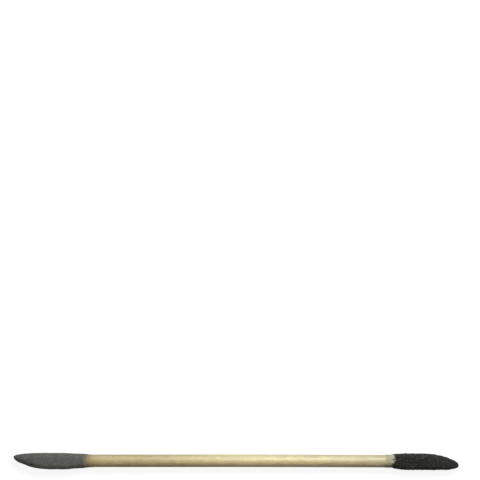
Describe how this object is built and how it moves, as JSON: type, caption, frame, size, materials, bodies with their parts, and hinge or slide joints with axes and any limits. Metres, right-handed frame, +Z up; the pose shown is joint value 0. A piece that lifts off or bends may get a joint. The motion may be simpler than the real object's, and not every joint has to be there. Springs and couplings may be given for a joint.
{
  "type": "double-ended sanding stick",
  "caption": "Slim wooden sanding stick with a bevelled, spear-shaped abrasive tip at each end: fine grey grit at one, coarse black grit at the other.",
  "frame": {"origin": "on the surface that the stick lies on, below the middle of its box", "axes": "+X along the stick from the fine end to the coarse end, +Y to the side that the coarse tip's bevel faces, +Z up from the surface"},
  "size_m": [0.142, 0.0053, 0.0043],
  "materials": {
    "wood": "raw, finely sanded pale hardwood",
    "glue": "dried clear glue, satin",
    "fine_grit": "matt, fine mineral grit",
    "coarse_grit": "matt with glints, coarse mineral grit"
  },
  "bodies": {
    "root": {"dowel": "wood", "fine_glue_coat": "glue", "fine_grit_coat": "fine_grit", "coarse_glue_coat": "glue", "coarse_grit_coat": "coarse_grit"}
  },
  "joints": []
}
